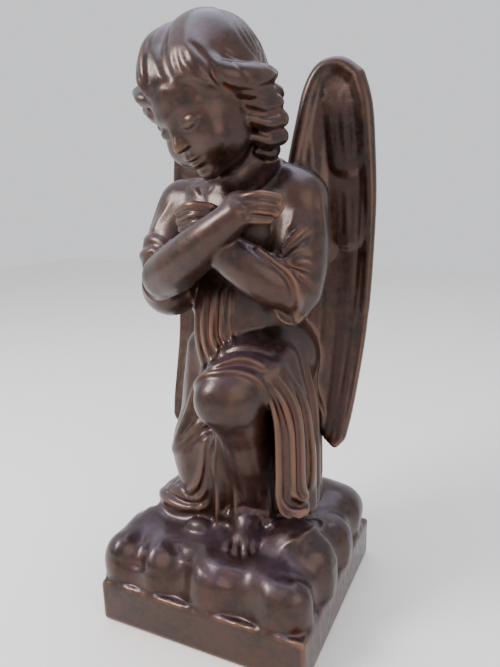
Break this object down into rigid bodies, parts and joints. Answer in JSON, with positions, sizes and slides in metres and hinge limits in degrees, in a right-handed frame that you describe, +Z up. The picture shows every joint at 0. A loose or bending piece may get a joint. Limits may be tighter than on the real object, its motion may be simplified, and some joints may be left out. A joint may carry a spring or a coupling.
{
  "type": "cemetery angel statue",
  "caption": "Child angel kneeling on a cloud mound and square plinth, arms crossed and wings folded, cast in bronze with a waxed dark brown patina; stands on its flat underside.",
  "frame": {"origin": "centre of the plinth's flat underside, on the ground", "axes": "+Z up along the height, the figure faces -Y, and its left side is toward +X"},
  "size_m": [0.2633, 0.244, 0.6355],
  "materials": {
    "bronze_patina": "cast bronze with a dark brown patina, waxed"
  },
  "bodies": {
    "root": {"kneeling_angel": "bronze_patina"}
  },
  "joints": []
}
